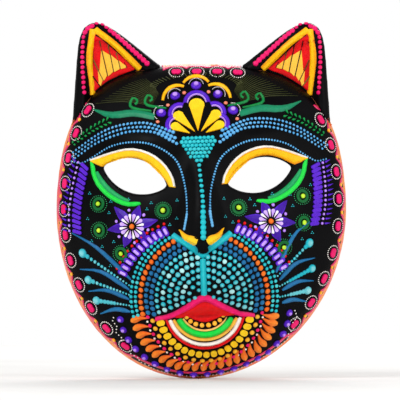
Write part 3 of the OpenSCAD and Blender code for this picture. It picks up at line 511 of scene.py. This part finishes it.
def parted(drops):
    """The same drops, with those that crowd their neighbours made small enough to leave a gap."""
    if len(drops) < 2:
        return drops
    spots = np.array([spot for spot, _, _ in drops])
    out = []
    for spot, up, radius in drops:
        next_one = np.sort(np.linalg.norm(spots - spot, axis=1))[1]
        out.append((spot, up, min(radius, max(next_one * CROWDING, radius * LEAST_SHARE))))
    return out


def drop_faces(top):
    """The skirt, the rings, the fan round the top point, and the bottom of a drop."""
    faces = []
    skirt = top + 1
    last = top - DROP_SPOKES
    for i in range(DROP_SPOKES):
        j = (i + 1) % DROP_SPOKES
        faces.append((skirt + i, skirt + j, j, i))
        for ring in range(0, last, DROP_SPOKES):
            faces.append((ring + i, ring + j, ring + DROP_SPOKES + j, ring + DROP_SPOKES + i))
        faces.append((last + i, last + j, top))
    faces.append(tuple(skirt + i for i in reversed(range(DROP_SPOKES))))
    return faces


def drop_mesh(spot, up, radius, raised):
    """A dried drop: a soft dome, a little uneven, whose skirt goes down into the ground."""
    spot = spot + up * raised
    side = np.cross(up, (0.0, 1.0, 0.0) if abs(up[1]) < 0.9 else (1.0, 0.0, 0.0))
    side /= np.linalg.norm(side)
    ahead = np.cross(up, side)
    turns = np.linspace(0, 2 * math.pi, DROP_SPOKES, endpoint=False)
    phase = rng.uniform(0, 2 * math.pi, 2)
    wobble = 1 + 0.035 * np.cos(2 * turns + phase[0]) + 0.02 * np.cos(3 * turns + phase[1])
    grown = radius * rng.uniform(0.95, 1.05)
    tall = grown * DROP_RISE * rng.uniform(0.9, 1.08)
    spokes = (grown * wobble)[:, None] * (np.outer(np.cos(turns), side) + np.outer(np.sin(turns), ahead))
    points, core = [], []
    for k in range(DROP_RINGS):
        angle = k / DROP_RINGS * math.pi / 2
        out = math.cos(angle) ** 0.8
        points += list(spot + out * spokes + up * tall * math.sin(angle) ** 0.9)
        core += [math.sqrt(1 - out)] * DROP_SPOKES
    top = len(points)
    points.append(spot + up * tall)
    core.append(1.0)
    points += list(spot + spokes - up * (KEYED + raised))
    core += [0.0] * DROP_SPOKES
    return points, drop_faces(top), core


# ---- Strokes of paint ----

def thickened(points, faces, raised, wider):
    """The shape with steep sides that go down into the clay, and wider by what smoothing takes off."""
    ups = np.array([ground.under(point)[1] for point in points])
    normals = point_normals(points, faces)
    outwards = normals - (normals * ups).sum(1)[:, None] * ups
    length = np.linalg.norm(outwards, axis=1)[:, None]
    points = points + np.where(length > 0.3, outwards / np.maximum(length, 0.3), 0) * wider
    return joined([(points + ups * (raised - LAYER * k), faces) for k in range(LAYERS)])


def lengthways(points, labels):
    """How far along its own piece each point lies: 0 at the thin end and 1 at the thick end."""
    out = np.zeros(len(points))
    for own in members_of(labels):
        if len(own) < 8:
            continue
        local = points[own] - points[own].mean(0)
        sample = local[::max(1, len(local) // 400)]
        axis = np.linalg.svd(sample, full_matrices=False)[2][0]
        t = local @ axis
        t = (t - t.min()) / max(t.max() - t.min(), 1e-9)
        out[own] = t if t.mean() > 0.5 else 1 - t
    return out


def stroke_mesh(points, faces, labels, size, raised):
    """Brush strokes, rounded and laid on the smoothed clay, with each point's core and piece."""
    source = tree_of(points, faces)
    face_label = labels[faces[:, 0]]
    wider = (size - THIN) * WIDENING
    points, squares = remeshed("stroke", *thickened(points, faces, raised, wider), size)
    piece = np.array([face_label[source.find_nearest(p)[2]] for p in points])
    points = relaxed(points, squares, PASSES, inflate=0.9)
    points, heights = ground.seat(points)
    top = np.full(labels.max() + 1, 1e-9)
    np.maximum.at(top, piece, heights)
    return points, squares, np.clip(heights / top[piece], 0, 1), piece


# ---- A node's paint ----

def thickness(points, faces, labels):
    """Each piece's volume over its length."""
    a, b, c = (points[faces[:, k]] for k in range(3))
    volume = np.zeros(labels.max() + 1)
    np.add.at(volume, labels[faces[:, 0]], np.einsum("ij,ij->i", a, np.cross(b, c)) / 6)
    length = [np.linalg.norm(np.ptp(points[own], axis=0)) for own in members_of(labels)]
    return np.abs(volume) / length


def kinds_of(sizes, count):
    """Pieces sorted into so many kinds, thickest first, parted where the sizes jump most."""
    order = np.argsort(-sizes)
    jumps = np.log(sizes[order][:-1] / sizes[order][1:])
    kinds = np.zeros(len(sizes))
    for cut in np.argsort(-jumps)[:count - 1]:
        kinds[order[cut + 1:]] += 1
    return kinds


class Coat:
    """Points and faces of one node's paint, and each point's core, place along its piece, and piece."""

    def __init__(self):
        self.points, self.faces = [], []
        self.core, self.along, self.piece = [], [], []

    def add(self, points, faces, core, along, piece):
        start = len(self.points)
        self.points += [tuple(point) for point in points]
        self.faces += [tuple(start + i for i in face) for face in faces]
        self.core += list(core)
        self.along += list(along)
        self.piece += list(piece)


def front_edge(points):
    """1 on the rim band's front edge, falling to 0 on the side wall: told by the place across the rim."""
    x, z = points[:, 0], points[:, 2] - RIM_MIDDLE
    away = np.hypot(x, z)
    slot = ((np.arctan2(z, x) / math.pi + 1) * SLOTS / 2).astype(int) % SLOTS
    least = np.full(SLOTS, 9.0)
    np.minimum.at(least, slot, away)
    least = (least + np.roll(least, 1) + np.roll(least, -1)) / 3
    return 1 - np.clip((away - least[slot]) / EDGE_WIDTH, 0, 1)


def paint(name, palettes, size, shaded):
    """A node's paint built again in the same place, as drops where it is round and strokes elsewhere."""
    points, faces = welded(NODES[name])
    labels = island_labels(len(points), edges_of(faces))
    kinds = np.zeros(labels.max() + 1)
    if len(palettes) > 1:
        kinds = kinds_of(thickness(points, faces, labels), len(palettes))
    tints = rng.random(len(kinds))
    shapes = [as_drop(points[own]) for own in members_of(labels)]
    numbers = [k for k, drop in enumerate(shapes) if drop is not None]
    coat = Coat()
    for k, drop in zip(numbers, parted([shapes[k] for k in numbers])):
        laid, laid_faces, core = drop_mesh(*drop, DROP_OVER_PAINT if name in ON_TOP else 0.0)
        coat.add(laid, laid_faces, core, [0.0] * len(laid), [k] * len(laid))
    left = ~np.isin(labels, numbers)
    if left.any():
        index = np.cumsum(left) - 1
        left_faces = index[faces[left[faces[:, 0]]]]
        laid, squares, core, piece = stroke_mesh(
            points[left], left_faces, labels[left], size * MM, OVER_PAINT if name in ON_TOP else RAISED)
        along = lengthways(laid, piece) if shaded else np.zeros(len(laid))
        coat.add(laid, squares.tolist(), core, along, piece)
    out = np.clip(np.array(coat.points), LOW, HIGH)
    obj = new_object(name + "_paint", out, coat.faces)
    give(obj, "core", coat.core)
    give(obj, "along", coat.along)
    give(obj, "tint", tints[coat.piece])
    give(obj, "kind", kinds[coat.piece])
    if name == "rim_band":
        give(obj, "front", front_edge(out))
    finish_piece(obj, name)
    return obj


# ---- Colours: each has a body, an edge and a crown, the crown partly a painted highlight ----

MAGENTA = (srgb(234, 8, 100), srgb(178, 4, 74), srgb(250, 40, 124))
CREAM = (srgb(250, 245, 235), srgb(215, 205, 200), srgb(255, 255, 252))
YELLOW = (srgb(255, 190, 5), srgb(235, 125, 0), srgb(255, 222, 40))
GOLD = (srgb(248, 178, 38), srgb(225, 120, 10), srgb(255, 210, 90))
ORANGE = (srgb(240, 100, 18), srgb(190, 55, 5), srgb(255, 158, 50))
RED = (srgb(225, 5, 15), srgb(170, 0, 5), srgb(240, 25, 25))
CORAL = (srgb(238, 130, 100), srgb(200, 90, 60), srgb(250, 165, 140))
VIOLET = (srgb(78, 20, 190), srgb(45, 8, 130), srgb(112, 52, 228))
DEEP_VIOLET = (srgb(64, 18, 160), srgb(98, 40, 226), srgb(58, 14, 146))
LILAC = (srgb(186, 134, 246), srgb(140, 84, 226), srgb(228, 200, 255))
GREEN = (srgb(10, 130, 62), srgb(4, 80, 40), srgb(25, 170, 82))
BRIGHT_GREEN = (srgb(16, 215, 65), srgb(5, 160, 55), srgb(60, 240, 90))
DEEP_GREEN = (srgb(6, 96, 44), srgb(16, 160, 66), srgb(8, 112, 52))
PALE_GREEN = (srgb(40, 165, 100), srgb(15, 110, 65), srgb(120, 225, 160))
LEAF = (srgb(15, 130, 90), srgb(8, 90, 65), srgb(25, 150, 105))
OLIVE = (srgb(54, 58, 28), srgb(24, 26, 12), srgb(84, 88, 46))
LIME = (srgb(190, 232, 40), srgb(90, 200, 50), srgb(225, 245, 90))
SKY = (srgb(80, 165, 222), srgb(40, 115, 180), srgb(140, 205, 245))
BLUE = (srgb(18, 102, 156), srgb(8, 66, 112), srgb(48, 138, 190))
TURQUOISE = (srgb(14, 184, 196), srgb(4, 130, 148), srgb(90, 222, 224))
AQUA = (srgb(26, 184, 198), srgb(6, 120, 150), srgb(205, 250, 246))
BLACK = (srgb(9, 8, 10), srgb(6, 6, 8), srgb(20, 18, 22))


def look(*colours, size=0.3, shaded=False):
    """Colours, thickest kind of piece first; the size of a stroke's squares in mm; shaded along or not."""
    return colours, size, shaded


LOOKS = {
    "rim_band": look(ORANGE, size=0.45),
    "rim_crest_beads": look(GOLD),
    "medallion_hearts": look(MAGENTA),
    "medallion_rings": look(CREAM),
    "ear_beads": look(MAGENTA),
    "ear_bands": look(YELLOW),
    "ear_fields": look(RED, size=0.35),
    "ear_rays": look(GOLD, BLACK, size=0.2),
    "palmette_petals": look(YELLOW, shaded=True),
    "palmette_scallops": look(VIOLET, size=0.25),
    "scallop_lines": look(LILAC, CREAM, size=0.2),
    "palmette_beads": look(VIOLET, size=0.25),
    "palmette_arcs": look(YELLOW, size=0.2),
    "coral_beads": look(CORAL),
    "brow_leaves": look(LEAF, size=0.25),
    "brow_curls": look(GREEN, size=0.18),
    "lashes": look(OLIVE, size=0.13),
    "sprigs": look(GREEN, size=0.18),
    "brow_beads_left": look(SKY, size=0.16),
    "brow_beads_right": look(SKY, size=0.16),
    "eye_outline_beads": look(SKY),
    "upper_lids": look(YELLOW),
    "lid_edges": look(CREAM, size=0.2),
    "lower_lids": look(BRIGHT_GREEN, LEAF, size=0.25),
    "nose_cluster": look(TURQUOISE, size=0.16),
    "nose_line": look(TURQUOISE),
    "nostril_petals": look(YELLOW, size=0.25, shaded=True),
    "muzzle_line": look(TURQUOISE, size=0.25),
    "rosette_rings": look(DEEP_GREEN, PALE_GREEN, size=0.22),
    "rosette_cores": look(LIME),
    "star_petals": look(DEEP_VIOLET, size=0.25),
    "flower_petals": look(LILAC, CREAM, size=0.2, shaded=True),
    "flower_hearts": look(ORANGE, size=0.25),
    "flower_beads": look(LILAC),
    "cheek_dots": look(TURQUOISE),
    "feathers": look(VIOLET, size=0.22),
    "feather_beads": look(LILAC),
    "muzzle_dashes": look(VIOLET, size=0.25),
    "muzzle_red_dots": look(RED),
    "muzzle_edge_beads": look(TURQUOISE),
    "muzzle_orange_beads": look(ORANGE),
    "muzzle_blue_beads": look(BLUE),
    "muzzle_turquoise_beads": look(AQUA),
    "whisker_strokes": look(BLUE, size=0.22),
    "whisker_beads": look(AQUA),
    "lip_line": look(MAGENTA),
    "mouth_fill": look(RED),
    "mouth_beads": look(GOLD),
    "chin_green_arc": look(BRIGHT_GREEN, size=0.25),
    "chin_arcs": look(CREAM, GOLD, RED, YELLOW, size=0.22),
    "chin_petals": look(YELLOW, size=0.2, shaded=True),
    "chin_gold_beads": look(GOLD),
    "chin_magenta_beads": look(MAGENTA, CREAM),
    "teardrops": look(ORANGE, size=0.22, shaded=True),
    "violet_chin_beads": look(VIOLET),
    "lilac_cores": look(LILAC, size=0.22),
    "chin_dotted_line": look(CREAM),
}

# ---- The mask ----

for name, (size, passes) in CLAY.items():
    obj = clay(name, size, passes)
    obj.data.materials.append(clay_material(name + "_clay"))
ground.close()

for name, (colours, size, shaded) in LOOKS.items():
    obj = paint(name, colours, size, shaded)
    obj.data.materials.append(rim_material(name) if name == "rim_band" else paint_material(name, colours))

# ---- Setting ----

FLOOR = [(x, y, LOW[2]) for x, y in ((-1.6, -1.6), (1.6, -1.6), (1.6, 1.2), (-1.6, 1.2))]
# How strongly the world lights the mask; seen past the mask, it is plain white
GLOW = 0.62
# A long lens straight in front; the picture is this wide at a plane so far in front of the wall
DISTANCE = 5.2
PICTURE_WIDTH = 0.268
PICTURE_PLANE = 30 * MM
PICTURE_MIDDLE = (-0.9 * MM, 14.7 * MM)
SENSOR = 36


def pale_floor():
    floor = new_object("floor", FLOOR, [(0, 1, 2, 3)])
    s = Shader("floor_paper")
    pale = s.mix(s.span(s.noise(8, 2), 0.3, 0.7), srgb(238, 237, 235), srgb(245, 244, 242))
    s.join(pale, s.base.inputs["Base Color"])
    s.base.inputs["Roughness"].default_value = 0.8
    floor.data.materials.append(s.material)


def panel(name, spot, aim, width, power):
    """A square light that faces its aim."""
    light = bpy.data.lights.new(name, "AREA")
    light.shape = "SQUARE"
    light.size = width
    light.energy = power
    obj = bpy.data.objects.new(name, light)
    obj.location = spot
    obj.rotation_euler = (Vector(aim) - Vector(spot)).to_track_quat("-Z", "Y").to_euler()
    bpy.context.scene.collection.objects.link(obj)


def studio_world():
    world = bpy.data.worlds.new("studio")
    bpy.context.scene.world = world
    world.use_nodes = True
    tree = world.node_tree
    backdrop = tree.nodes["Background"]
    backdrop.inputs["Color"].default_value = (1, 1, 1, 1)
    glow = tree.nodes.new("ShaderNodeBackground")
    glow.inputs["Color"].default_value = (1, 1, 1, 1)
    glow.inputs["Strength"].default_value = GLOW
    rays = tree.nodes.new("ShaderNodeLightPath")
    choice = tree.nodes.new("ShaderNodeMixShader")
    tree.links.new(rays.outputs["Is Camera Ray"], choice.inputs[0])
    tree.links.new(glow.outputs[0], choice.inputs[1])
    tree.links.new(backdrop.outputs[0], choice.inputs[2])
    tree.links.new(choice.outputs[0], tree.nodes["World Output"].inputs[0])


def front_camera():
    data = bpy.data.cameras.new("camera")
    data.sensor_width = SENSOR
    data.lens = SENSOR * (DISTANCE - PICTURE_PLANE) / PICTURE_WIDTH
    data.clip_end = 20
    camera = bpy.data.objects.new("camera", data)
    camera.location = (PICTURE_MIDDLE[0], -DISTANCE, PICTURE_MIDDLE[1])
    camera.rotation_euler = (math.pi / 2, 0, 0)
    bpy.context.scene.collection.objects.link(camera)
    bpy.context.scene.camera = camera


pale_floor()
panel("key", (-0.9, -1.3, 1.1), (0, 0, 0.02), 0.9, 16)
panel("fill", (1.2, -1.2, 0.5), (0, 0, 0), 1.2, 9)
panel("back", (0.3, 1.3, 0.9), (0, 0, 0), 0.9, 9)
studio_world()
front_camera()
bpy.context.scene.view_settings.view_transform = "Standard"
